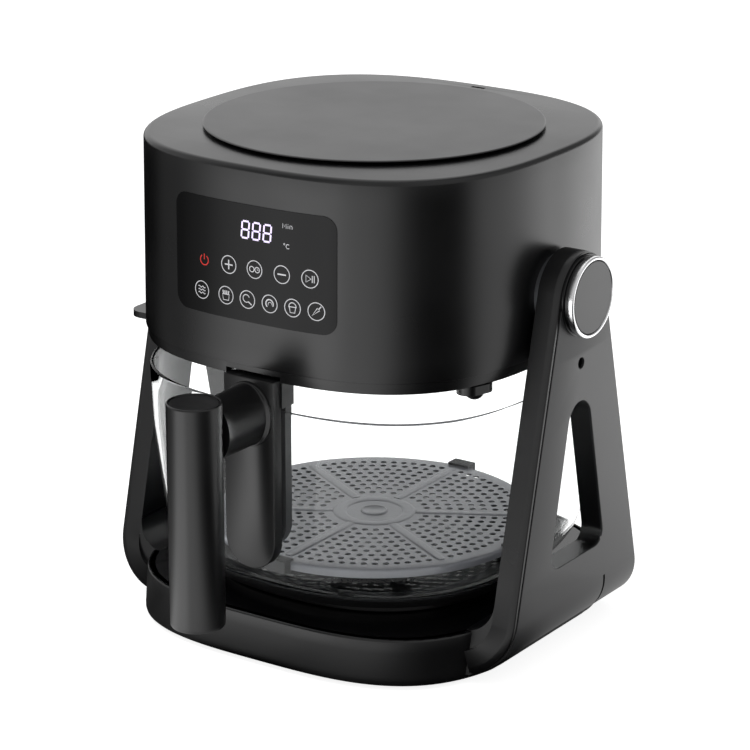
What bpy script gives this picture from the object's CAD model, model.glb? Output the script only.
import math

import bmesh
import bpy
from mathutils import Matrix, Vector
from mathutils.geometry import tessellate_polygon


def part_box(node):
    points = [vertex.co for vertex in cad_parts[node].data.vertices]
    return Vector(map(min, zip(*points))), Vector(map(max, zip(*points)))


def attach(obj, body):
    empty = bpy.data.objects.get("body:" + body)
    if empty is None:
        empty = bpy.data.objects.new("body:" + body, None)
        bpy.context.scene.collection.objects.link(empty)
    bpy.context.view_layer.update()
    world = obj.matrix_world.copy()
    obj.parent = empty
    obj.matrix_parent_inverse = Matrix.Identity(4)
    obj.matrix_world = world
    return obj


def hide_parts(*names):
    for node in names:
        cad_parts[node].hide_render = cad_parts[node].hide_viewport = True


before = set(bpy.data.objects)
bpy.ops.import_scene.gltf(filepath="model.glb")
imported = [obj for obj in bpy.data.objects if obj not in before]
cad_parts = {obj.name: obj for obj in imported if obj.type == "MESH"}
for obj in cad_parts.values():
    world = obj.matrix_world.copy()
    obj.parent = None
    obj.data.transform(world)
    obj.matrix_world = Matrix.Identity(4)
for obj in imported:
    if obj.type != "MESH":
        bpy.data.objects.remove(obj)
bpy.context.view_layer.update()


# ---- Camera ----------------------------------------------------------------
# A long lens from the front right and a little above, as for a catalogue picture.
camera_data = bpy.data.cameras.new("camera")
camera_data.lens = 148.578
camera_data.sensor_width = 36
camera = bpy.data.objects.new("camera", camera_data)
bpy.context.scene.collection.objects.link(camera)
camera.location = (1.07009, -1.54052, 0.78176)
camera.rotation_euler = Vector((-0.53143, 0.78752, -0.31207)).to_track_quat("-Z", "Y").to_euler()
bpy.context.scene.camera = camera
bpy.context.scene.view_settings.view_transform = "Standard"


# ---- Studio ----------------------------------------------------------------
# A seamless white sweep of paper under and around the machine. Bright panels stand in front
# and at the right behind, with black cloth between them, and one softbox hangs overhead.
def rgb(hexcode):
    """An sRGB hex colour as linear RGBA."""
    parts = [int(hexcode[i:i + 2], 16)/255 for i in (0, 2, 4)]
    return [c/12.92 if c <= 0.04045 else ((c + 0.055)/1.055)**2.4 for c in parts] + [1.0]


def add(tree, kind, inputs=None, **settings):
    """Adds a node, sets its properties, and fills or links its inputs."""
    made = tree.nodes.new(kind)
    for key, value in settings.items():
        setattr(made, key, value)
    for key, value in (inputs or {}).items():
        if isinstance(value, bpy.types.NodeSocket):
            tree.links.new(value, made.inputs[key])
        else:
            made.inputs[key].default_value = value
    return made


def blank(name):
    """A new material and its emptied node tree."""
    made = bpy.data.materials.new(name)
    made.use_nodes = True
    made.node_tree.nodes.clear()
    return made, made.node_tree


def ramp(tree, fac, stops):
    """A colour ramp over fac, from (place, grey or colour) pairs."""
    made = add(tree, "ShaderNodeValToRGB", {"Fac": fac})
    bar = made.color_ramp.elements
    while len(bar) < len(stops):
        bar.new(0.5)
    for element, (place, value) in zip(bar, stops):
        element.position = place
        element.color = value if isinstance(value, list) else (value, value, value, 1)
    return made.outputs["Color"]


# Brightness of the room by direction, in degrees from the front towards the right: low down,
# as upright faces mirror it, and high up, as the flat tops do. No stop is above PEAK.
PEAK = 3.0
low_room = [(-180, 1.2), (-150, 0.0), (-90, 0.0), (-75, 0.2), (-60, 0.2), (-45, 0.7), (-30, 2.5),
            (-15, 2.5), (-5, 2.7), (5, 1.6), (15, 1.7), (30, 1.3), (45, 0.3), (60, 0.0), (90, 0.0),
            (105, 1.2), (120, 1.2), (135, 1.3), (150, 2.6), (165, 1.8), (180, 1.2)]
high_room = [(-180, 0.3), (-165, 1.35), (-150, 0.95), (-135, 1.1), (-120, 1.1), (-90, 0.6),
             (-60, 0.9), (-30, 0.2), (0, 0.7), (30, 0.5), (60, 0.6), (120, 0.6), (150, 0.3),
             (180, 0.3)]


def room(tree, place, stops):
    """Brightness by direction round the machine."""
    split = add(tree, "ShaderNodeSeparateXYZ", {"Vector": place})
    back = add(tree, "ShaderNodeMath", {0: split.outputs["Y"], 1: -1.0}, operation="MULTIPLY")
    turn = add(tree, "ShaderNodeMath", {0: split.outputs["X"], 1: back.outputs[0]},
               operation="ARCTAN2")
    share = add(tree, "ShaderNodeMapRange", {
        "Value": turn.outputs[0], "From Min": -math.pi, "From Max": math.pi})
    shade = ramp(tree, share.outputs["Result"], [((a + 180)/360, v/PEAK) for a, v in stops])
    return add(tree, "ShaderNodeEmission", {"Color": shade, "Strength": PEAK}).outputs[0]


def straight_view(tree, rays):
    """1 where it is looked at straight or through the glass, 0 where it is mirrored."""
    past_glass = add(tree, "ShaderNodeMath", {0: rays.outputs["Transmission Depth"], 1: 0.5},
                     operation="GREATER_THAN")
    return add(tree, "ShaderNodeMath", {0: rays.outputs["Is Camera Ray"], 1: past_glass.outputs[0]},
               operation="MAXIMUM").outputs[0]


paper, tree = blank("white_sweep_paper")
rays = add(tree, "ShaderNodeLightPath")
spot = add(tree, "ShaderNodeTexCoord")
matt = add(tree, "ShaderNodeBsdfDiffuse", {"Color": rgb("c8c8c8")})
white = add(tree, "ShaderNodeEmission", {"Color": rgb("ffffff"), "Strength": 0.86})
seen = add(tree, "ShaderNodeAddShader", {0: matt.outputs[0], 1: white.outputs[0]})
# Close to the machine, from 270 to 100 mm off its middle, the paper sinks into its shade
away = add(tree, "ShaderNodeVectorMath", {0: spot.outputs["Object"]}, operation="LENGTH")
shade = add(tree, "ShaderNodeMapRange", {
    "Value": away.outputs["Value"], "From Min": 0.1, "From Max": 0.27})
dark = add(tree, "ShaderNodeEmission", {"Color": rgb("ffffff"), "Strength": 0.0})
faded = add(tree, "ShaderNodeMixShader", {
    0: shade.outputs["Result"], 1: dark.outputs[0],
    2: room(tree, spot.outputs["Object"], low_room)})
mirrored = add(tree, "ShaderNodeMixShader", {
    0: rays.outputs["Is Glossy Ray"], 1: matt.outputs[0], 2: faded.outputs[0]})
both = add(tree, "ShaderNodeMixShader", {
    0: straight_view(tree, rays), 1: mirrored.outputs[0], 2: seen.outputs[0]})
add(tree, "ShaderNodeOutputMaterial", {"Surface": both.outputs[0]})

sweep = bpy.data.meshes.new("sweep")
half = 7.0
sweep.from_pydata([(-half, -half, 0), (half, -half, 0), (half, half, 0), (-half, half, 0)], [],
                  [(0, 1, 2, 3)])
sweep.materials.append(paper)
floor = bpy.data.objects.new("floor", sweep)
bpy.context.scene.collection.objects.link(floor)

world = bpy.data.worlds.new("studio")
bpy.context.scene.world = world
world.use_nodes = True
tree = world.node_tree
tree.nodes.clear()
rays = add(tree, "ShaderNodeLightPath")
spot = add(tree, "ShaderNodeTexCoord")
backdrop = add(tree, "ShaderNodeBackground", {"Color": rgb("ffffff"), "Strength": 1.0})
soft = add(tree, "ShaderNodeBackground", {"Color": rgb("ffffff"), "Strength": 0.55})
cloth = add(tree, "ShaderNodeMixShader", {
    0: rays.outputs["Is Glossy Ray"], 1: soft.outputs[0],
    2: room(tree, spot.outputs["Generated"], high_room)})
sky = add(tree, "ShaderNodeMixShader", {
    0: straight_view(tree, rays), 1: cloth.outputs[0], 2: backdrop.outputs[0]})
add(tree, "ShaderNodeOutputWorld", {"Surface": sky.outputs[0]})

key_data = bpy.data.lights.new("overhead_softbox", "AREA")
key_data.shape = "RECTANGLE"
key_data.size = 1.2
key_data.size_y = 1.2
key_data.energy = 16
key = bpy.data.objects.new("overhead_softbox", key_data)
bpy.context.scene.collection.objects.link(key)
key.location = (-0.5, -0.2, 1.9)
key.rotation_euler = (Vector((0, 0, 0.15)) - key.location).to_track_quat("-Z", "Y").to_euler()
key.visible_camera = False
key.visible_glossy = False


# ---- Base plinth -----------------------------------------------------------
# The moulded foot of the machine: a rounded-square tub of black ABS, open above, with its
# sides kept inside the stands' curled feet. Its satin skin comes from a spark-eroded mould.
shell_low, shell_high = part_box("head_shell")
middle_x = (shell_low.x + shell_high.x)/2
middle_y = (shell_low.y + shell_high.y)/2
SQUARENESS = 2.75


def at(x, y, z):
    """A place in millimetres from the head's middle, the table being z = 0, in metres."""
    return Vector((middle_x + x/1000, middle_y + y/1000, z/1000))


def rounded_square(a, b, z, n=SQUARENESS, count=160):
    """A level outline of a rounded square with half sizes a and b."""
    ring = []
    for i in range(count):
        t = 2*math.pi*i/count
        r = ((abs(math.cos(t))/a)**n + (abs(math.sin(t))/b)**n)**(-1/n)
        ring.append((r*math.cos(t), r*math.sin(t), z))
    return ring


def skin(rings, first=True, last=True):
    """Points and faces of a skin over rings of the same length, with its ends closed or open."""
    points = [p for ring in rings for p in ring]
    k = len(rings[0])
    faces = [(j*k + i, j*k + (i + 1) % k, (j + 1)*k + (i + 1) % k, (j + 1)*k + i)
             for j in range(len(rings) - 1) for i in range(k)]
    if first:
        faces.append(tuple(range(k)))
    if last:
        faces.append(tuple(range((len(rings) - 1)*k, len(rings)*k)))
    return points, faces


def build(name, shapes, finish, body, stands_for=(), sharp=32):
    """One piece from a list of (points, faces) in millimetres, on its body."""
    mesh = bpy.data.meshes.new(name)
    points, faces = [], []
    for some_points, some_faces in shapes:
        start = len(points)
        points += some_points
        faces += [tuple(start + i for i in f) for f in some_faces]
    mesh.from_pydata([at(*p) for p in points], [], faces)
    work = bmesh.new()
    work.from_mesh(mesh)
    bmesh.ops.remove_doubles(work, verts=work.verts, dist=2e-6)
    bmesh.ops.dissolve_degenerate(work, edges=work.edges, dist=1e-6)
    bmesh.ops.recalc_face_normals(work, faces=work.faces)
    work.to_mesh(mesh)
    work.free()
    mesh.shade_smooth()
    mesh.set_sharp_from_angle(angle=math.radians(sharp))
    mesh.materials.append(finish)
    piece = bpy.data.objects.new(name, mesh)
    bpy.context.scene.collection.objects.link(piece)
    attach(piece, body)
    if stands_for:
        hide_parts(*stands_for)
    return piece


def moulded(name, deep, pale, gloss, grain, height, cloud=60.0, spread=0.05, shine=0.5):
    """Moulded plastic or rubber: two close shades, a grain of grain mm, clouds of cloud mm."""
    mat, tree = blank(name)
    place = add(tree, "ShaderNodeTexCoord").outputs["Object"]
    clouds = add(tree, "ShaderNodeTexNoise", {"Vector": place, "Scale": 1000/cloud, "Detail": 3.0})
    grit = add(tree, "ShaderNodeTexNoise", {"Vector": place, "Scale": 1000/grain, "Detail": 2.0})
    colour = ramp(tree, clouds.outputs["Fac"], [(0.35, rgb(deep)), (0.65, rgb(pale))])
    rough = add(tree, "ShaderNodeMapRange", {
        "Value": clouds.outputs["Fac"], "From Min": 0.3, "From Max": 0.7,
        "To Min": gloss - spread, "To Max": gloss + spread})
    bump = add(tree, "ShaderNodeBump", {
        "Height": grit.outputs["Fac"], "Strength": 0.35, "Distance": height/1000})
    shader = add(tree, "ShaderNodeBsdfPrincipled", {
        "Base Color": colour, "Roughness": rough.outputs["Result"],
        "Specular IOR Level": shine, "Normal": bump.outputs["Normal"]})
    add(tree, "ShaderNodeOutputMaterial", {"Surface": shader.outputs[0]})
    return mat


# Spark-eroded ABS: near black, a soft satin sheen; the true grain is 0.05 mm, drawn at 0.5.
satin_abs = moulded("satin_black_ABS", "0e0e0f", "111112", 0.3, 0.5, 0.003, spread=0.03)

base_half = (134.0, 132.0)
BASE_SQUARENESS = 3.2
base_low = 2.5
deck_top = 33.0
# The stand's outer face curls under the base on this radius, about a line along the base
face_x, curl_r, curl_z = 153.5, 36.0, 41.0
# Beside the stands' feet the tub keeps to this half width, or to this gap inside the curl
foot_reach, tub_side, curl_gap = 62.0, 129.6, 2.4


def curl_x(z):
    """How far out the curled face is at a height."""
    drop = min(1.0, max(0.0, (curl_z - z)/curl_r))
    return face_x - curl_r*(1 - math.sqrt(1 - drop*drop))


def tub_ring(inset, z):
    """A level outline of the tub, held inside the curl at its sides."""
    ring = []
    a, b = (half - inset for half in base_half)
    for x, y, _ in rounded_square(a, b, z, BASE_SQUARENESS, 256):
        if abs(y) < foot_reach:
            x = math.copysign(min(abs(x), max(tub_side, curl_x(z) - curl_gap)), x)
        ring.append((x, y, z))
    return ring


tub_profile = [(2.2, base_low), (1.0, base_low + 0.3), (0.3, base_low + 1.0), (0.0, base_low + 2.2),
               (0.0, 7.0), (0.2, 9.0), (0.6, 16.0), (1.1, 24.0), (1.5, deck_top - 1.6),
               (1.7, deck_top - 0.9), (2.2, deck_top - 0.3), (3.0, deck_top), (6.0, deck_top),
               (6.3, deck_top - 0.5)]
tub = skin([tub_ring(i, z) for i, z in tub_profile], False, False)
build("base_tub", [tub], satin_abs, "base", ("base_plinth",), sharp=40)


# ---- Deck, bottom plate, feet, screws and inlet ----------------------------
# A glossy black deck closes the tub from above, a dark plate from below. Four rubber feet
# are pressed into it, four steel screws hold it, and the power inlet is clipped in behind.
# Polished ABS: the mould face is lapped, so the deck mirrors softly.
gloss_abs = moulded("polished_black_ABS", "08080a", "0b0b0c", 0.16, 3.0, 0.001, spread=0.03)
# Moulded nitrile rubber: dull, slightly dusty.
rubber = moulded("black_rubber", "141414", "1c1c1b", 0.7, 0.8, 0.03)
# Plain ABS from a lightly etched mould: a dark grey, a little duller than the satin skin.
dark_abs = moulded("dark_grey_ABS", "161617", "1a1a1b", 0.34, 0.6, 0.004, spread=0.03)


def steel(name, hexcode, gloss, grain, bump_height):
    """Bare or plated metal with fine marks of grain mm."""
    mat, tree = blank(name)
    place = add(tree, "ShaderNodeTexCoord").outputs["Object"]
    marks = add(tree, "ShaderNodeTexNoise", {"Vector": place, "Scale": 1000/grain, "Detail": 4.0})
    rough = add(tree, "ShaderNodeMapRange", {
        "Value": marks.outputs["Fac"], "To Min": gloss*0.7, "To Max": gloss*1.3})
    bump = add(tree, "ShaderNodeBump", {
        "Height": marks.outputs["Fac"], "Strength": 0.3, "Distance": bump_height/1000})
    shader = add(tree, "ShaderNodeBsdfPrincipled", {
        "Base Color": rgb(hexcode), "Metallic": 1.0, "Roughness": rough.outputs["Result"],
        "Normal": bump.outputs["Normal"]})
    add(tree, "ShaderNodeOutputMaterial", {"Surface": shader.outputs[0]})
    return mat


# Zinc-plated steel, cold-headed: grey and a little dull.
zinc_steel = steel("zinc_plated_steel", "a8a8a6", 0.38, 0.8, 0.004)
# Rolled stainless sheet: bright, with faint rolling marks.
stainless = steel("rolled_stainless", "c4c2be", 0.26, 2.0, 0.004)


def dress(material, *nodes):
    """Gives CAD nodes their real finish."""
    for name in nodes:
        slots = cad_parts[name].data.materials
        slots.clear()
        slots.append(material)


dress(gloss_abs, "base_deck")
dress(dark_abs, "base_bottom", "power_inlet")
dress(rubber, "base_feet")
dress(zinc_steel, "base_screws", "stand_bolts")


# ---- Stands ----------------------------------------------------------------
# Two A-shaped legs carry the head. Each is a black ABS frame faced with a charcoal panel,
# with a shadow seam between, and both curl under the base. The frame is screwed to the tub.
pivot_y, pivot_z = 1.0, 235.6


def arc(centre, r, start, stop, count):
    """Points of an arc in degrees, from start to stop."""
    return [(centre[0] + r*math.cos(math.radians(start + (stop - start)*i/count)),
             centre[1] + r*math.sin(math.radians(start + (stop - start)*i/count)))
            for i in range(count + 1)]


def tangent(top, top_r, foot_y, foot_z, foot_r):
    """The slope angle of the line that touches the round top and a round foot."""
    vy, vz = -foot_y, top - foot_z
    spread = math.acos((foot_r - top_r)/math.hypot(vy, vz))
    return math.degrees(math.atan2(vz, vy)) - math.degrees(spread)


top_r, foot_y, foot_z, foot_r = 27.7, 75.0, 12.0, 7.0
slope = tangent(pivot_z, top_r, foot_y, foot_z, foot_r)


def leg_half(z):
    """Half the leg's width at a height, below its round top."""
    touch_y = top_r*math.cos(math.radians(slope))
    touch_z = pivot_z + top_r*math.sin(math.radians(slope))
    return touch_y + (touch_z - z)*math.tan(math.radians(slope))


# The leg is laid out flat: below the curl's start, height is measured along the curl
curl_end, curl_steps = 75.0, 15
bends = [curl_end*i/curl_steps for i in range(curl_steps + 1)]
flat_z = [curl_z - curl_r*math.radians(t) for t in bends]
flat_half = [leg_half(curl_z - curl_r*math.sin(math.radians(t))) for t in bends]
leg_top = arc((0, pivot_z), top_r, slope, 180 - slope, 40)
side_z = [200, 150, 100, 62]
leg_outline = leg_top + [(-leg_half(z), z) for z in side_z]
leg_outline += [(-h, z) for h, z in zip(flat_half, flat_z)]
leg_outline += [(h, z) for h, z in zip(flat_half[::-1], flat_z[::-1])]
leg_outline += [(leg_half(z), z) for z in side_z[::-1]]
leg_outline = [(y + pivot_y, z) for y, z in leg_outline]
# The edge is rounded in full along the front, fading over this width to a tenth at the back
fade_w = 36.0
leg_weights = [0.1 + 0.9*min(1.0, max(0.0, 0.5 - (y - pivot_y)/fade_w)) for y, z in leg_outline]
lower_start = len(leg_top) + len(side_z)
lower_pairs = [(lower_start + i, lower_start + 2*curl_steps + 1 - i) for i in range(curl_steps + 1)]


def bent(points):
    """Rolls what lies below the curl's start round the curl."""
    out = []
    for x, y, z in points:
        if z < curl_z:
            turn = (curl_z - z)/curl_r
            r = curl_r - (face_x - abs(x))
            x = math.copysign(face_x - curl_r + r*math.cos(turn), x)
            z = curl_z - r*math.sin(turn)
        out.append((x, y, z))
    return out


def outward(line):
    """An outward normal for each point of a counter-clockwise outline, longer at its corners."""
    normals = []
    for i, p in enumerate(line):
        a, b = line[i - 1], line[(i + 1) % len(line)]
        n1 = Vector((p[1] - a[1], a[0] - p[0])).normalized()
        n2 = Vector((b[1] - p[1], p[0] - b[0])).normalized()
        n = (n1 + n2).normalized()
        normals.append(n/max(0.5, n.dot(n1)))
    return normals


def flat_face(loops, u=0, v=1):
    """A flat face over an outline and its holes, worked out along two of the axes."""
    tris = tessellate_polygon([[Vector((p[u], p[v], 0)) for p in loop] for loop in loops])
    return [p for loop in loops for p in loop], [tuple(t) for t in tris]


def leg_plate(layers, side, through=(), blind=(), slit=None):
    """A plate in the leg's outline: layers of (x, offset of the edge), the holes right through
    it with their own layers, blind holes of (outline, depth), and a slit (a centre line's y at
    a flat height, its top, its half width) in the outer face."""
    normals = outward(leg_outline)
    rings = [[(side*x, p[0] + n[0]*e*w, p[1] + n[1]*e*w)
              for p, n, w in zip(leg_outline, normals, leg_weights)] for x, e in layers]
    shapes = [skin(rings, False, False)]
    ends, rows = [], []
    for ring in (rings[0], rings[-1]):
        near, far = ring[:lower_start + 1], ring[lower_pairs[0][1]:]
        left = [ring[a] for a, b in lower_pairs]
        right = [ring[b] for a, b in lower_pairs]
        if slit and ring is rings[-1]:
            centre, top, half = slit
            x, low = ring[0][0], left[0][2]
            lip = [(x, centre(z) + turn*half, z)
                   for turn, z in ((-1, low), (-1, top), (1, top), (1, low))]
            ends.append([near + lip + far])
            sides = [[(x, centre(p[2]) + turn*half, p[2]) for p in left] for turn in (-1, 1)]
            rows += [(left, sides[0]), (sides[1], right)]
            deep = side*layers[0][0]
            walls = [lip[1::-1] + sides[0][1:], lip[2:] + sides[1][1:]]
            rows += [(wall, [(deep, y, z) for _, y, z in wall]) for wall in walls]
            rows.append((lip[1:3], [(deep, y, z) for _, y, z in lip[1:3]]))
        else:
            ends.append([near + far])
            rows.append((left, right))
    for one, two in rows:
        points = [p for pair in zip(one, two) for p in pair]
        shapes.append((points, [(2*i, 2*i + 1, 2*i + 3, 2*i + 2) for i in range(len(one) - 1)]))
    for hole, hole_layers in through:
        normals = outward(hole)
        walls = [[(side*x, p[0] + n[0]*e, p[1] + n[1]*e) for p, n in zip(hole, normals)]
                 for x, e in hole_layers]
        shapes.append(skin(walls, False, False))
        ends[0].append(walls[0])
        ends[1].append(walls[-1])
    for hole, depth in blind:
        x = layers[-1][0]
        walls = [[(side*(x - d), y, z) for y, z in hole] for d in (depth, 0)]
        shapes.append(skin(walls, True, False))
        ends[1].append(walls[-1])
    return shapes + [flat_face(loops, 1, 2) for loops in ends]


slit_top, slit_half = 68.0, 1.1


def slit_line(z):
    """Where the slit runs: from the window's rear corner straight down and under."""
    return pivot_y + 29.5 + (slit_top - z)*0.2


# Charcoal ABS, finely grained: the outer panels, and the discs over the pivots
cover_abs = moulded("charcoal_ABS", "2e2e2f", "343435", 0.34, 0.6, 0.004, spread=0.03)
window_top, window_top_r = 153.6, 13.5
window_y, window_z, window_r = 22.5, 72.5, 9.0
window_slope = tangent(window_top, window_top_r, window_y, window_z, window_r)
window_outline = arc((0, window_top), window_top_r, window_slope, 180 - window_slope, 30)
window_outline += arc((-window_y, window_z), window_r, 180 - window_slope, 270, 14)
window_outline += arc((window_y, window_z), window_r, 270, 360 + window_slope, 14)
window_outline = [(y + pivot_y, z) for y, z in window_outline]
# Layers from the stand's inner face outwards, as (x, offset of the edge)
frame_layers = [(137.6, 0.0), (148.6, 0.0), (149.0, -0.05), (152.2, -0.85), (152.7, -1.15),
                (152.95, -1.6), (153.0, -2.2), (153.0, -3.4), (152.9, -3.7), (151.9, -3.8)]
window_layers = [(137.6, 0.6), (138.2, 0.0), (151.9, 0.0)]
lock_z, lock_r = 192.1, 3.6
lock_hole = arc((pivot_y, lock_z), lock_r, 0, 345, 23)
# The paddle comes out through a slot; behind the panel its pocket goes on up to the lock pin
slot_half, slot_low, slot_high, pocket_high = 9.0, 172.6, 185.1, 198.1
lever_slot, lever_pocket = [
    [(pivot_y - slot_half, slot_low), (pivot_y + slot_half, slot_low),
     (pivot_y + slot_half, high), (pivot_y - slot_half, high)] for high in (slot_high, pocket_high)]
cover_layers = [(151.9, -4.5), (153.2, -4.5), (153.42, -4.6), (153.5, -4.9)]
cover_window = [(151.9, 0.0), (153.15, 0.0), (153.5, 0.35)]
# The foot fills in between the curl and the tub, and rises to the leg on a hollow radius
shoulder_r, stand_in = 18.0, 137.6
foot_in, foot_low = 116.0, 5.2
inner_r = curl_r - (face_x - stand_in)
foot_section = arc((stand_in - shoulder_r, deck_top + shoulder_r), shoulder_r, 0, -90, 12)
foot_section += [(stand_in - shoulder_r - 3, deck_top - 1), (foot_in, foot_low)]
foot_section += arc((face_x - curl_r, curl_z), curl_r, -curl_end, 0, 12)[:1]
foot_section += arc((face_x - curl_r, curl_z), inner_r, -curl_end, 0, 12)
for side, word in ((-1, "left"), (1, "right")):
    pockets = [(lever_pocket, 9.0)] if side < 0 else [(lock_hole, 12.0)]
    leg = [(bent(points), faces) for points, faces in
           leg_plate(frame_layers, side, [(window_outline, window_layers)], pockets)]
    ends = [[(side*x, pivot_y + turn*leg_half(z), z) for x, z in foot_section] for turn in (-1, 1)]
    foot = [skin(ends, False, False)] + [flat_face([end], 0, 2) for end in ends]
    build(f"stand_leg_{word}", leg + foot, satin_abs, "base",
          (f"stand_frame_{word}",), sharp=24)
    holes = [(window_outline, cover_window)]
    holes.append((lever_slot, [(151.9, 0), (153.5, 0)]) if side < 0 else
                 (lock_hole, [(151.9, 0), (153.3, 0), (153.5, 0.3)]))
    panel_shapes = [(bent(points), faces) for points, faces in
                    leg_plate(cover_layers, side, holes, slit=(slit_line, slit_top, slit_half))]
    build(f"stand_panel_{word}", panel_shapes, cover_abs, "base",
          (f"stand_cover_{word}",), sharp=24)


# ---- Pivots ----------------------------------------------------------------
# The head turns on two zinc trunnions in bronze bushes. Outside, each is hidden by a black
# collar, a chrome-plated ring and a flat dark disc, pressed together.
def lathe_x(profile, side, count=96):
    """A turned shape about the pivot line, from (x, r) pairs."""
    turns = [2*math.pi*i/count for i in range(count)]
    return [[(side*x, pivot_y + r*math.cos(t), pivot_z + r*math.sin(t)) for t in turns]
            for x, r in profile]


# Chrome plate on ABS: a hard bright mirror, slightly soft at the moulded edge.
chrome = steel("chrome_plate", "f2f2f3", 0.22, 4.0, 0.0005)
# Die-cast zinc: dull grey with a fine cast skin.
zamak = steel("die_cast_zinc", "77797c", 0.45, 1.2, 0.01)
# Sintered bronze: brown, open-grained.
bronze = steel("sintered_bronze", "9a7b4f", 0.42, 0.6, 0.01)
dress(zamak, "trunnions", "trunnion_rings")
dress(bronze, "pivot_bushes")
dress(zinc_steel, "trunnion_screws", "retaining_rings", "lever_pin", "lock_pin")
collar_line = [(151.5, 17.6), (151.5, 25.2), (154.3, 25.2), (154.6, 24.9), (154.9, 23.6),
               (157.3, 23.4), (157.6, 17.6)]
chrome_line = [(156.9, 22.9), (156.9, 24.8), (157.2, 25.3), (157.8, 25.5), (160.5, 25.5),
               (161.0, 25.3), (161.3, 24.9), (161.45, 24.4), (161.45, 24.0), (161.2, 23.5),
               (160.7, 23.2), (156.9, 22.9)]
cap_line = [(156.9, 22.8), (160.4, 22.9), (160.8, 22.7), (161.0, 22.3), (161.0, 22.0),
            (161.0, 0.01)]
for name, line, closed, finish, slot, cad_name in (
        ("cap_collar", collar_line, False, satin_abs, "satin_black", "cap_collars"),
        ("cap_chrome_ring", chrome_line, False, chrome, "chrome_ring", "cap_rings"),
        ("cap_disc", cap_line, True, cover_abs, "dark_grey", "cap_discs")):
    build(name, [skin(lathe_x(line, side), closed, closed) for side in (-1, 1)], finish, "base",
          (cad_name,))


# ---- Release lever ---------------------------------------------------------
# A black paddle on the left stand, hinged on a steel pin; pressing it down draws the lock
# pin out of the head. Moulded in one piece with its barrel and fork.
dress(satin_abs, "release_lever")


# ---- Glass bowl ------------------------------------------------------------
# A pressed borosilicate bowl with a rounded rim; its walls lean in a little and turn into
# the floor on a wide radius. It is 4 mm thick, but drawn thinner, and bends light less, so
# that it looks as clear and light as such a bowl does in a bright room.
borosilicate, tree = blank("borosilicate_glass")
place = add(tree, "ShaderNodeTexCoord").outputs["Object"]
# Pressed glass has slow waves, about 45 mm long, that bend what is seen through it a little
waves = add(tree, "ShaderNodeTexNoise", {"Vector": place, "Scale": 1000/45, "Detail": 1.0})
wave_bump = add(tree, "ShaderNodeBump", {
    "Height": waves.outputs["Fac"], "Strength": 0.1, "Distance": 0.0001})
clear = add(tree, "ShaderNodeBsdfPrincipled", {
    "Base Color": rgb("fcfdfd"), "Transmission Weight": 1.0, "Roughness": 0.0, "IOR": 1.2,
    "Normal": wave_bump.outputs["Normal"]})
lamp_rays = add(tree, "ShaderNodeLightPath")
let_through = add(tree, "ShaderNodeBsdfTransparent", {"Color": rgb("f4f8f8")})
glass_mix = add(tree, "ShaderNodeMixShader", {
    0: lamp_rays.outputs["Is Shadow Ray"], 1: clear.outputs[0], 2: let_through.outputs[0]})
add(tree, "ShaderNodeOutputMaterial", {"Surface": glass_mix.outputs[0]})

rim_half = (132.5, 130.0)
glass_low, rim_top, wall, floor_t, corner_r, lean = 40.0, 171.8, 2.4, 3.2, 34.0, 2.5
bead = wall/2
# The floor's last ring lies this far inside the corner
floor_ring = 30.0


def glass_ring(inset, z):
    """A level ring of the bowl, rounder towards the floor."""
    n = 2.3 + 0.5*min(1.0, max(0.0, (z - 44)/90))
    return rounded_square(rim_half[0] - inset, rim_half[1] - inset, z, n, 192)


def glass_side(inward, low, r):
    """One face of the bowl from its floor to the rim's bead, as (inset, z) pairs."""
    line = [(floor_ring + lean + inward + r, low)]
    line += [(lean + inward + r*(1 - math.sin(math.radians(t))),
              low + r*(1 - math.cos(math.radians(t)))) for t in range(0, 91, 9)]
    return line + [(inward + lean*(1 - k/8), low + r + (rim_top - bead - low - r)*k/8)
                   for k in range(1, 9)]


outer = glass_side(0, glass_low, corner_r)
rim = [(bead - bead*math.cos(math.radians(t)), rim_top - bead + bead*math.sin(math.radians(t)))
       for t in range(18, 163, 18)]
inner = glass_side(wall, glass_low + floor_t, corner_r - wall)
profile = outer + rim + inner[::-1]
build("bowl_glass", [skin([glass_ring(i, z) for i, z in profile])], borosilicate, "bowl",
      ("glass_bowl",), sharp=50)


# ---- Bowl tray -------------------------------------------------------------
# A dark moulded tray under the bowl; the glass sits in it, and its foot ring stands on the
# deck. Its lip carries the one bright line round the bowl.
# The tray's section: half width, height and squareness. It is a little less deep than wide
depth_less = 2.5
tray_line = [(112.4, 41.2, 2.25), (114.0, 41.6, 2.25), (119.4, 49.6, 2.27), (119.9, 50.6, 2.27),
             (119.7, 51.2, 2.27), (119.0, 51.3, 2.27), (118.0, 50.4, 2.27), (110.0, 43.5, 2.27),
             (99.0, 40.2, 2.3), (90.0, 39.6, 2.4), (90.0, 33.4, 2.4), (99.2, 33.4, 2.4),
             (100.0, 34.2, 2.4), (100.4, 40.0, 2.35)]
rings = [rounded_square(a, a - depth_less, z, n) for a, z, n in tray_line]
build("bowl_tray", [skin(rings + [rings[0]], False, False)], dark_abs, "bowl",
      ("bowl_foot",))


# ---- Handle ----------------------------------------------------------------
# A clamp holds the rim between an outer plate and an inner strap, screwed together above it
# through the saddle; an oval arm stands out from the plate and ends in an upright tube with
# a dished cap. All of it is moulded black ABS.
plate_half, plate_low, plate_top, strap_low = 18.6, 67.8, 192.0, 77.8
saddle_half, saddle_low, saddle_top = 19.9, 173.6, 189.8
# In y: the plate's two faces, the saddle's and the strap's
plate_front, plate_back, saddle_front, saddle_back = -137.6, -129.4, -130.0, -117.6
strap_front, strap_back = -124.6, -117.8


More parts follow.
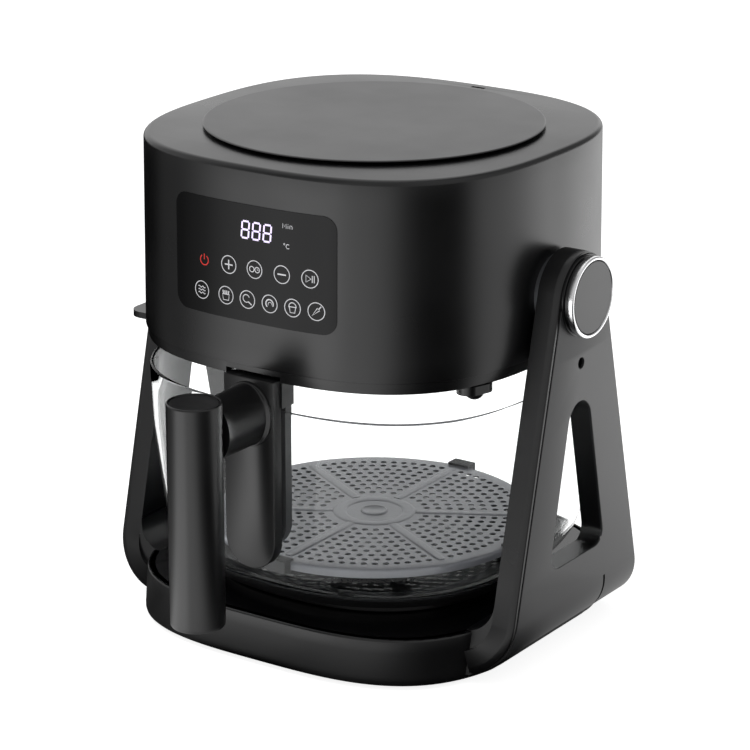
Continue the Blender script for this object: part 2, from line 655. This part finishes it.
def strip(low, top, layers, r=0.5):
    """A strip across Y with a round lower end and small upper corners, from layers of (offset
    of the edge, y)."""
    line = arc((0, low + plate_half), plate_half, 180, 360, 28)
    line += arc((plate_half - r, top - r), r, 0, 90, 3)
    line += arc((-plate_half + r, top - r), r, 90, 180, 3)
    normals = outward(line)
    return skin([[(p[0] + n[0]*e, y, p[1] + n[1]*e) for p, n in zip(line, normals)]
                 for e, y in layers])


def block(half, front, back, low, high):
    """A plain block that reaches half to each side."""
    return skin([[(-half, front, z), (half, front, z), (half, back, z), (-half, back, z)]
                 for z in (low, high)])


plate = strip(plate_low, plate_top, [(0, plate_back), (0, plate_front + 0.6),
                                     (-0.18, plate_front + 0.18), (-0.6, plate_front)])
saddle = block(saddle_half, saddle_front, saddle_back, saddle_low, saddle_top)
build("handle_clamp", [plate, saddle], satin_abs, "bowl", ("handle_plate",))
strap = strip(strap_low, saddle_low, [(0, strap_front), (0, strap_back - 0.4),
                                      (-0.4, strap_back)])
build("handle_inner_strap", [strap], cover_abs, "bowl", ("handle_strap",))
arm_z, arm_half_w, arm_half_h = 169.05, 15.0, 19.75
arm_rings = []
# The oval flares where it meets the plate and the tube
for y, grow in ((-137.4, 3.4), (-138.8, 3.4), (-139.4, 3.1), (-139.8, 2.4), (-140.0, 0.9),
                (-140.4, 0.3), (-141.2, 0.0), (-170, 0.0), (-174, 0.2), (-177, 0.8), (-179, 1.6)):
    w, h = arm_half_w + grow*0.9, arm_half_h + grow*0.3
    arm_rings.append([(w*math.cos(2*math.pi*i/64), y, arm_z + h*math.sin(2*math.pi*i/64))
                      for i in range(64)])
build("handle_oval_arm", [skin(arm_rings)], satin_abs, "bowl", ("handle_arm",))


def lathe_z(profile, cx, cy, count=96):
    """A turned shape about an upright line, from (r, z) pairs."""
    return [[(cx + r*math.cos(2*math.pi*i/count), cy + r*math.sin(2*math.pi*i/count), z)
             for i in range(count)] for r, z in profile]


grip_y, grip_low, grip_top = -192.0, 48.3, 191.8
tube = [(0.01, grip_low), (14.6, grip_low), (16.2, grip_low + 0.5), (16.9, grip_low + 1.6),
        (17.0, grip_low + 3), (17.0, grip_top - 1.2), (16.9, grip_top - 0.6),
        (16.6, grip_top - 0.15), (16.2, grip_top), (15.8, grip_top - 0.1), (15.6, grip_top - 0.5),
        (15.6, grip_top - 3)]
build("grip_tube", [skin(lathe_z(tube, 0, grip_y), True, False)], satin_abs, "bowl",
      ("handle_grip",))
cap = [(r, grip_top - down) for r, down in (
    (15.3, 3), (15.3, 1.1), (15.0, 0.8), (14.4, 0.8), (11, 1.6), (6, 2.1), (0.01, 2.3))]
build("grip_cap", [skin(lathe_z(cap, 0, grip_y), False, True)], dark_abs, "bowl",
      ("handle_cap",))
dress(zinc_steel, "handle_screws", "arm_screws")


# ---- Crisper plate ---------------------------------------------------------
# A pressed aluminium plate with rings of holes between six plain spokes, dark non-stick
# enamel on both faces; silicone feet and rim clips keep it off the glass.
# Non-stick coat: grey with mica, smooth enough to mirror the bowl softly.
enamel = moulded("nonstick_enamel", "74757a", "7e7f84", 0.22, 0.8, 0.0006, spread=0.04)
# Dark silicone, pressure moulded: soft and dull.
silicone = moulded("dark_silicone", "2c2c2d", "343435", 0.6, 1.5, 0.01)
plate_z, plate_r, sheet = 62.8, 106.0, 0.7
hole_r, hole_gap, ring_gap, spoke_half, plain_r, boss_r = 2.15, 6.9, 7.4, 5.5, 30.0, 9.0


def turned(points, degrees):
    """Points turned about the plate's middle."""
    c, s = math.cos(math.radians(degrees)), math.sin(math.radians(degrees))
    return [(x*c - y*s, x*s + y*c, z) for x, y, z in points]


# One sixth of the sheet; each ring has as many holes as its part between two spokes holds
wedge = arc((0, 0), plate_r - 2, -30, 30, 16) + arc((0, 0), boss_r, 30, -30, 8)
air_holes = []
ring_at = plain_r + 5
while ring_at < plate_r - 7:
    room_left = math.radians(30) - math.asin((spoke_half + hole_r)/ring_at)
    steps = int(2*room_left*ring_at/hole_gap)
    for i in range(steps + 1):
        turn = -room_left + 2*room_left*i/steps if steps else 0
        air_holes.append(arc((ring_at*math.cos(turn), ring_at*math.sin(turn)), hole_r, 0, 330, 11))
    ring_at += ring_gap
points, tris = flat_face([wedge] + air_holes)
plate_shapes = []
for degrees in range(0, 360, 60):
    for z in (plate_z, plate_z - sheet):
        plate_shapes.append((turned([(x, y, z) for x, y in points], degrees), tris))
    for hole in air_holes:
        plate_shapes.append(skin([turned([(x, y, z) for x, y in hole], degrees)
                                  for z in (plate_z, plate_z - sheet)], False, False))
    # A pressed rib runs out along each spoke
    rib = []
    for x, half in ((plain_r - 3, 3.2), (plain_r + 4, 3.8), (plate_r - 12, 3.8), (plate_r - 9, 2.4)):
        rib.append([(x, y*half, plate_z + up) for y, up in
                    ((-1, -0.1), (-0.8, 0.3), (-0.5, 0.5), (0.5, 0.5), (0.8, 0.3), (1, -0.1))])
    plate_shapes.append(skin([turned(ring, degrees + 30) for ring in rib]))
edge_line = [(plate_r - out, plate_z - down) for out, down in (
    (2, 0), (1.2, 0.15), (0.4, 0.7), (0, 1.6), (0, 5.6), (0.7, 5.6), (0.7, 1.8), (1.4, 0.9),
    (2, sheet))]
boss_line = [(boss_r, plate_z), (8.6, plate_z + 0.7), (7.8, plate_z + 1.0), (6.8, plate_z + 0.5),
             (0.01, plate_z + 0.4)]
ridge_line = [(18, plate_z - 0.1), (19, plate_z + 0.35), (20.4, plate_z + 0.5), (25, plate_z + 0.5),
              (26.4, plate_z + 0.35), (27.4, plate_z - 0.1)]
boss_under = [(boss_r, plate_z - sheet), (0.01, plate_z - sheet)]
plate_shapes += [skin(lathe_z(edge_line, 0, 0, 96), False, False),
                 skin(lathe_z(boss_line, 0, 0, 48), False, True),
                 skin(lathe_z(boss_under, 0, 0, 48), False, True),
                 skin(lathe_z(ridge_line, 0, 0, 96), False, False)]
build("crisper_sheet", plate_shapes, enamel, "crisper", ("crisper_plate",), sharp=35)
feet_circle = 84.0
foot_line = [(4.0, 45.4), (4.8, 45.9), (5.0, 46.8), (5.0, plate_z - sheet - 0.1)]
feet_shapes = [skin(lathe_z(foot_line, x, y, 32)) for x, y in arc((0, 0), feet_circle, 45, 315, 3)]
build("crisper_soft_feet", feet_shapes, silicone, "crisper", ("crisper_feet",))
dress(silicone, "crisper_bumpers")


# ---- Head shell ------------------------------------------------------------
# The upper housing: one deep moulded tub of black ABS, satin outside, with a soft edge round
# its flat top, a round opening for warm air under the top disc and a small slot behind it.
head_low, head_top, shell_wall, brow_r = 197.8, 323.3, 2.6, 3.5
vent_r, slot_left, slot_right, slot_front, slot_back = 98.2, -5.0, 5.4, 120.8, 124.0


def head_half(z):
    """The shell's half sizes at a height: it narrows a little upwards."""
    k = (z - head_low)/(head_top - head_low)
    return 133.8 - 1.2*k, 133.9 - 1.0*k


head_rings = []
for inset, z in ((1.0, head_low), (0.2, head_low + 0.4), (0.0, head_low + 1.2)):
    a, b = head_half(z)
    head_rings.append(rounded_square(a - inset, b - inset, z, count=256))
for k in range(1, 12):
    z = head_low + 1.2 + (head_top - brow_r - head_low - 1.2)*k/11
    head_rings.append(rounded_square(*head_half(z), z, count=256))
for t in range(15, 91, 15):
    z = head_top - brow_r + brow_r*math.sin(math.radians(t))
    a, b = head_half(z)
    inset = brow_r*(1 - math.cos(math.radians(t)))
    head_rings.append(rounded_square(a - inset, b - inset, z, count=256))
under = head_top - shell_wall
inside = [rounded_square(*[h - shell_wall for h in head_half(z)], z, count=256)
          for z in (head_low, under)]
vents = [[(vent_r*math.cos(2*math.pi*i/128), vent_r*math.sin(2*math.pi*i/128))
          for i in range(128)],
         [(slot_left, slot_front), (slot_right, slot_front), (slot_right, slot_back),
          (slot_left, slot_back)]]
roof, ceiling = [[edge] + [[(x, y, z) for x, y in hole] for hole in vents]
                 for edge, z in ((head_rings[-1], head_top), (inside[-1], under))]
build("head_housing", [skin(head_rings, False, False), skin(inside, False, False),
      skin([inside[0], head_rings[0]], False, False), flat_face(roof), flat_face(ceiling),
      skin([roof[1], ceiling[1]], False, False), skin([roof[2], ceiling[2]], False, False)],
      satin_abs, "head", ("head_shell",), sharp=24)
# The band below the shell steps in, and is notched in front for the handle's clamp
band_half, band_low, liner_hole = (131.8, 132.8), 190.8, 106.2
notch_half, notch_back, notch_top = 20.4, -121.0, 194.4


def in_notch(point):
    """Whether a point of the band's outline lies across the notch."""
    return point[1] < 0 and abs(point[0]) < notch_half


def band_ring(inset, z):
    """A level ring of the band, running into the notch."""
    a, b = (half - inset for half in band_half)
    ring = [p for p in rounded_square(a, b, z, count=256) if not in_notch(p)]
    edge = min(y for _, y, _ in ring)
    notch = [(-notch_half, edge, z), (-notch_half, notch_back, z), (notch_half, notch_back, z),
             (notch_half, edge, z)]
    split = next(i for i in range(1, len(ring))
                 if ring[i][1] < 0 and ring[i - 1][0] < 0 < ring[i][0])
    return ring[:split] + notch + ring[split:]


band_rings = [band_ring(inset, z) for inset, z in (
    (0.0, head_low + 0.3), (0.0, band_low + 0.9), (0.3, band_low + 0.2), (0.9, band_low))]
bore = [[(liner_hole*math.cos(2*math.pi*i/96), liner_hole*math.sin(2*math.pi*i/96), z)
         for i in range(96)] for z in (band_low, head_low)]
# Above the notch the band goes on round the front
bridge_line = [p[:2] for p in rounded_square(*band_half, 0, count=256) if in_notch(p)]
bridge_y = max(y for _, y in bridge_line)
bridge_line = ([(-notch_half, notch_back), (-notch_half, bridge_y)] + sorted(bridge_line)
               + [(notch_half, bridge_y), (notch_half, notch_back)])
bridge = skin([[(x, y, z) for x, y in bridge_line] for z in (notch_top, head_low + 0.2)])
# A lip behind the notch closes the view into the bowl
lip = block(notch_half, notch_back, notch_back + 1.2, band_low - 0.7, band_low + 0.3)
build("head_lower_band", [lip, skin(band_rings, False, False), skin(bore, False, False), bridge,
      flat_face([band_rings[-1], bore[0]])], satin_abs, "head", ("head_band",))


# ---- Top disc --------------------------------------------------------------
# A flat dark disc that floats over the top on six posts, so that a thin black gap runs all
# round it. Moulded ABS, undercut below and rounded over at its edge.
post_circle = 84.2
disc_line = [(0.01, 1.3), (102.0, 1.3), (107.4, 1.95), (108.1, 2.1), (108.2, 2.4), (107.8, 2.8),
             (107.1, 3.0), (106.7, 3.0), (0.01, 3.0)]
disc = skin(lathe_z([(r, head_top + up) for r, up in disc_line], 0, 0, 192))
post_line = [(4, head_top - shell_wall), (4, head_top + 2.0)]
posts = [skin(lathe_z(post_line, x, y, 24)) for x, y in arc((0, 0), post_circle, 0, 300, 5)]
build("top_plate", [disc] + posts, dark_abs, "head", ("top_disc",))
dress(dark_abs, "vent_plate")


# ---- Touch panel -----------------------------------------------------------
# A sheet of smoked glass bonded into the housing's front, printed from behind: numerals
# lit violet-white, thin white ring marks, and the power mark lit red.
# Float glass, tinted and coated: almost black, and mirrors less than bare glass does.
smoked = moulded("smoked_touch_glass", "060607", "08080a", 0.16, 8.0, 0.0005, spread=0.02,
                 shine=0.16)
panel_half_w, panel_half_h, panel_z, panel_r = 59.75, 36.75, 263.1, 9.0
# How far the glass stands out of the housing. The print behind it is drawn just proud of it,
# as nothing shows through the glass drawn here
glass_out, ink_out = 0.4, 0.47


def on_front(x, z, out):
    """A place on the housing's front face, out mm proud of it."""
    a, b = head_half(z)
    return (x, -b*(1 - (abs(x)/a)**SQUARENESS)**(1/SQUARENESS) - out, z)


def glass_patch(half_w, half_h, r, cz, out, deep):
    """A rounded oblong that follows the front, out proud, with its rim turned in deep."""
    columns = [-half_w + r*(1 - math.cos(math.radians(t))) for t in range(0, 91, 10)]
    columns += [-half_w + r + (2*half_w - 2*r)*k/30 for k in range(1, 30)]
    columns += [half_w - r*(1 - math.cos(math.radians(t))) for t in range(90, -1, -10)]
    points, faces = [], []
    k, rows = len(columns), 7
    for x in columns:
        c = max(0.0, abs(x) - (half_w - r))
        h = half_h - r + math.sqrt(max(0.0, r*r - c*c))
        for j in range(rows):
            points.append(on_front(x, cz - h + 2*h*j/(rows - 1), out))
    for i in range(k - 1):
        for j in range(rows - 1):
            a = i*rows + j
            faces.append((a, a + rows, a + rows + 1, a + 1))
    edge = [i*rows for i in range(k)] + [(k - 1)*rows + j for j in range(1, rows)]
    edge += [i*rows + rows - 1 for i in range(k - 2, -1, -1)] + list(range(rows - 2, 0, -1))
    start = len(points)
    for i in edge:
        x, y, z = points[i]
        points.append((x, y + deep, z))
    m = len(edge)
    for i in range(m):
        faces.append((edge[i], edge[(i + 1) % m], start + (i + 1) % m, start + i))
    return points, faces


pane = glass_patch(panel_half_w, panel_half_h, panel_r, panel_z, glass_out, 1.6)
build("touch_panel", [pane], smoked, "head", ("panel_glass",), sharp=40)


def glow(name, hexcode, strength):
    """Printed mark lit from behind: even colour, a little uneven in brightness."""
    mat, tree = blank(name)
    place = add(tree, "ShaderNodeTexCoord").outputs["Object"]
    drift = add(tree, "ShaderNodeTexNoise", {"Vector": place, "Scale": 1000/6, "Detail": 1.0})
    full = rgb(hexcode)
    weak = [c*0.85 for c in full[:3]] + [1]
    tone = ramp(tree, drift.outputs["Fac"], [(0.3, weak), (0.7, full)])
    shader = add(tree, "ShaderNodeBsdfPrincipled", {
        "Base Color": tone, "Roughness": 0.3, "Emission Color": tone,
        "Emission Strength": strength})
    add(tree, "ShaderNodeOutputMaterial", {"Surface": shader.outputs[0]})
    return mat


white_ink = glow("white_lit_ink", "b9b9bc", 0.75)
red_ink = glow("red_lit_ink", "b5231c", 0.8)
numeral_light = glow("violet_white_numerals", "e9dcff", 1.0)


def stroke(line, width, closed=False):
    """A thin printed line on the panel, through points in x and z."""
    count = len(line)
    left, right = [], []
    for i, p in enumerate(line):
        a = line[i - 1] if closed or i > 0 else p
        b = line[(i + 1) % count] if closed or i < count - 1 else p
        d = Vector((b[0] - a[0], b[1] - a[1])).normalized()
        left.append((p[0] - d[1]*width/2, p[1] + d[0]*width/2))
        right.append((p[0] + d[1]*width/2, p[1] - d[0]*width/2))
    points = [on_front(x, z, ink_out) for x, z in left + right]
    last = count if closed else count - 1
    return points, [(i, (i + 1) % count, count + (i + 1) % count, count + i) for i in range(last)]


marks = []
ring_r, line_w = 5.5, 0.55
row_1 = [(x, 260.2) for x in (-35.5, -16.2, 3.2, 23.1, 42.5)]
row_2 = [(x, 240.5) for x in (-37.8, -18.6, -2.3, 14.2, 30.6, 46.7)]
for cx, cz in row_1[1:] + row_2:
    marks.append(stroke(arc((cx, cz), ring_r, 0, 350, 35), line_w, True))
# Plus, two linked rings, minus, and start or pause
(px, pz), (fx, fz), (mx, mz), (yx, yz) = row_1[1:]
marks += [stroke([(px - 3, pz), (px + 3, pz)], 0.9), stroke([(px, pz - 3), (px, pz + 3)], 0.9),
          stroke([(mx - 3, mz), (mx + 3, mz)], 0.9)]
marks += [stroke([(yx - 2.6, yz - 2.2), (yx + 0.8, yz), (yx - 2.6, yz + 2.2)], line_w, True),
          stroke([(yx + 1.6, yz - 2.2), (yx + 1.6, yz + 2.2)], line_w),
          stroke([(yx + 2.9, yz - 2.2), (yx + 2.9, yz + 2.2)], line_w)]
marks += [stroke(arc((fx - 2, fz), 1.7, 0, 340, 17), line_w, True),
          stroke(arc((fx + 2, fz), 1.7, 0, 340, 17), line_w, True),
          stroke([(fx + 2, fz + 1.1), (fx + 2, fz), (fx + 3, fz)], 0.4)]
# Six foods: bacon, chips, a drumstick, a prawn, a cake and a carrot
x, z = row_2[0]
for k in (-1, 0, 1):
    marks.append(stroke([(x - 2.8 + 5.6*i/12, z + 1.9*k + 0.45*math.sin(i*math.pi/3))
                         for i in range(13)], line_w))
x, z = row_2[1]
marks.append(stroke([(x - 2.6, z + 0.6), (x - 2.0, z - 3), (x + 2.0, z - 3), (x + 2.6, z + 0.6)],
                    line_w, True))
marks += [stroke([(x + d, z + 0.6), (x + d*1.25, z + 3.0)], 0.8) for d in (-1.8, -0.6, 0.6, 1.8)]
x, z = row_2[2]
marks += [stroke(arc((x - 0.8, z + 0.6), 2.4, 20, 300, 18), line_w),
          stroke([(x + 0.6, z - 1.2), (x + 3.2, z - 3.0)], 0.8)]
x, z = row_2[3]
marks += [stroke(arc((x, z), 2.7, -30, 230, 16), 0.8),
          stroke(arc((x + 0.3, z - 0.3), 1.4, -10, 210, 10), 0.4)]
x, z = row_2[4]
marks += [stroke(arc((x, z + 0.8), 2.5, 0, 180, 12), line_w),
          stroke([(x - 2.8, z + 0.6), (x + 2.8, z + 0.6)], line_w),
          stroke([(x - 2.2, z + 0.4), (x - 1.6, z - 3), (x + 1.6, z - 3), (x + 2.2, z + 0.4)],
                 line_w)]
x, z = row_2[5]
marks += [stroke([(x - 2.8, z - 2.8), (x + 0.8, z + 2.2), (x + 2.2, z + 0.8)], line_w, True),
          stroke([(x + 1.5, z + 1.5), (x + 3.2, z + 3.4)], 0.7)]
# The small words beside the numerals: Min, and degrees C
small_w = 0.38
small = [stroke([(24.0, 289.2), (24.0, 292.2), (25.2, 290.2), (26.4, 292.2), (26.4, 289.2)],
                small_w),
         stroke([(27.7, 289.2), (27.7, 291.2)], small_w),
         stroke([(27.7, 291.8), (27.7, 292.2)], small_w),
         stroke([(29.0, 289.2), (29.0, 291.2), (30.2, 291.2), (30.6, 290.8), (30.6, 289.2)],
                small_w),
         stroke(arc((25.0, 279.4), 0.5, 0, 330, 11), 0.3, True),
         stroke(arc((27.6, 278.2), 1.3, 50, 310, 14), 0.45)]
build("panel_marks", marks + small, white_ink, "head", sharp=80)
x, z = row_1[0]
build("power_mark", [stroke(arc((x, z - 0.3), 3.2, 125, 415, 24), 0.7),
                     stroke([(x, z), (x, z + 3.6)], 0.7)],
      red_ink, "head", sharp=80)


def numeral(cx, cz, w=5.2, h=10.4, width=1.15):
    """A seven-segment eight, leaning a little."""
    a, b, gap, slant = w/2, h/2, 0.45, 0.09
    segments = [[(-a + gap, z), (a - gap, z)] for z in (b, 0, -b)]
    segments += [[(s*a, q*gap), (s*a, q*(b - gap))] for s in (-1, 1) for q in (-1, 1)]
    return [stroke([(cx + x + z*slant, cz + z) for x, z in seg], width) for seg in segments]


build("lit_numerals", [part for cx in (-3.4, 4.7, 12.8) for part in numeral(cx, 284.2)],
      numeral_light, "head", sharp=80)


# ---- Inside the head -------------------------------------------------------
# The heating chamber: a stainless liner, a two-turn tube heater in clips, a wire guard and
# the hot-air fan; above it the motor on its bracket, the cooling fan and the circuit board.
# Sheathed heater tube: incoloy, browned by heat.
heater_tube = steel("heater_tube", "5c5450", 0.42, 1.0, 0.01)
# Pressed steel can, stove-enamelled dark grey.
motor_can = moulded("painted_motor_can", "3f4042", "4a4b4d", 0.4, 1.2, 0.006)
# Glass-fibre board under a green solder mask.
board_green = moulded("circuit_board", "153d27", "1b4a30", 0.35, 2.0, 0.004)
# Fired steatite, unglazed: pale and dull.
ceramic = moulded("heat_proof_ceramic", "cfc8b8", "d8d2c4", 0.55, 0.8, 0.01)
dress(stainless, "head_liner", "heater_clips", "guard_grille", "hot_fan", "motor_bracket",
      "touch_springs")
dress(heater_tube, "heater_coil")
dress(motor_can, "motor")
dress(ceramic, "thermostat")
dress(board_green, "touch_board")
dress(dark_abs, "display_module", "cooling_fan")
dress(zinc_steel, "liner_screws", "board_screws", "motor_shaft", "fan_nut")


# ---- Safety catch ----------------------------------------------------------
# A small block under the head's edge with a domed plunger: it feels the bowl and cuts the
# heat when the bowl is out. Moulded ABS.
dress(satin_abs, "catch_block")
dress(dark_abs, "plunger")
